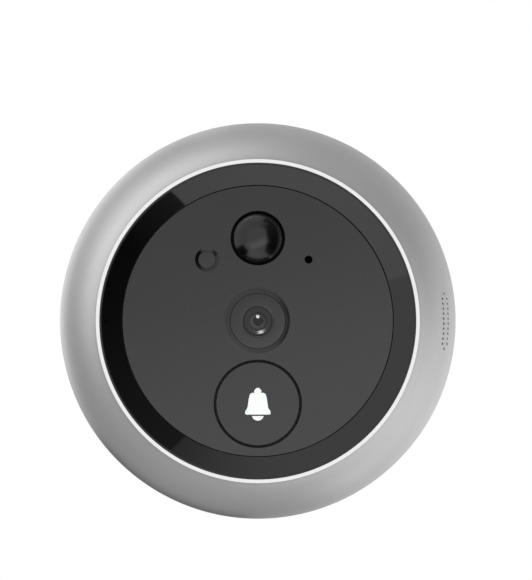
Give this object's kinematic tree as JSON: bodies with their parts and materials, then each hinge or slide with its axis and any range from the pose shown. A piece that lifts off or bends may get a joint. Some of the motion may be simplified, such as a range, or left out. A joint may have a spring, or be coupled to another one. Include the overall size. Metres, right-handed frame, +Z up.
{
  "type": "peephole door camera",
  "caption": "Round silver peephole camera for the outside of a door, with a recessed black face that holds a domed motion sensor, a camera and a sprung bell push.",
  "frame": {"origin": "centre of the neck on the plane of the door's outer face", "axes": "+Y into the door along the neck, +Z up the door, +X to the right as seen from outside"},
  "size_m": [0.064, 0.025, 0.064],
  "materials": {
    "satin_silver": "fine blasted and anodised, with a polished chamfer",
    "gloss_black": "polished, infrared-passing",
    "satin_black": "fine satin",
    "lens_black": "smooth moulded",
    "smoke_plastic": "smoked, clear",
    "cover_glass": "coated glass",
    "lens_glass": "coated optical glass",
    "filter_glass": "coated glass",
    "barrel_black": "matt black",
    "black_rubber": "matt",
    "clear_silicone": "translucent",
    "white_acrylic": "milky light guide",
    "inner_black": "moulded",
    "inner_white": "moulded",
    "board_green": "solder mask",
    "lamp_clear": "clear epoxy",
    "nickel": "nickel plated",
    "screw_steel": "plain steel",
    "gold_contact": "gold plated",
    "insert_brass": "turned",
    "membrane": "fine mesh",
    "wire_red": "smooth",
    "cover_black": "fine spark-eroded grain",
    "foam_black": "closed-cell foam"
  },
  "bodies": {
    "outdoor_unit": {"housing": "satin_silver", "gloss_ring": "gloss_black", "ring_seal": "black_rubber", "front_panel": "satin_black", "sound_membrane": "membrane", "pir_lens": "lens_black", "pir_can": "nickel", "pir_filter": "lens_black", "light_pipe": "smoke_plastic", "light_sensor": "inner_black", "mic_boot": "black_rubber", "microphone": "nickel", "camera_window": "cover_glass", "lens_shroud": "black_rubber", "lens_barrel": "barrel_black", "front_lens": "lens_glass", "rear_lens": "lens_glass", "lens_holder": "inner_black", "ir_filter": "filter_glass", "image_sensor": "inner_black", "return_dome": "clear_silicone", "switch_body": "inner_white", "bell_leds": "inner_white", "main_board": "board_green", "board_chips": "inner_black", "board_screws": "screw_steel", "ir_leds": "lamp_clear", "cable_socket": "inner_white", "socket_contacts_row": "gold_contact", "speaker_frame": "inner_black", "speaker_diaphragm": "membrane", "speaker_magnet": "nickel", "speaker_wires": "wire_red", "rear_cover": "cover_black", "rear_seal": "black_rubber", "cover_screws": "screw_steel", "clamp_inserts": "insert_brass", "foam_pad": "foam_black"},
    "bell_push": {"bell_button": "satin_black", "bell_light_guide": "white_acrylic"},
    "plunger": {"switch_plunger": "inner_black"}
  },
  "joints": [
    {"name": "button_press", "type": "slide", "parent": "outdoor_unit", "child": "bell_push", "axis": [0, 1, 0], "range_m": [0, 0.0005], "stiffness_N_per_m": 800, "springref_m": -0.001, "deforming": ["return_dome"]},
    {"name": "plunger_press", "type": "slide", "parent": "outdoor_unit", "child": "plunger", "axis": [0, 1, 0], "range_m": [0, 0.0005]}
  ],
  "couplings": [
    {"joint": "plunger_press", "follows": "button_press", "ratio": 1}
  ]
}
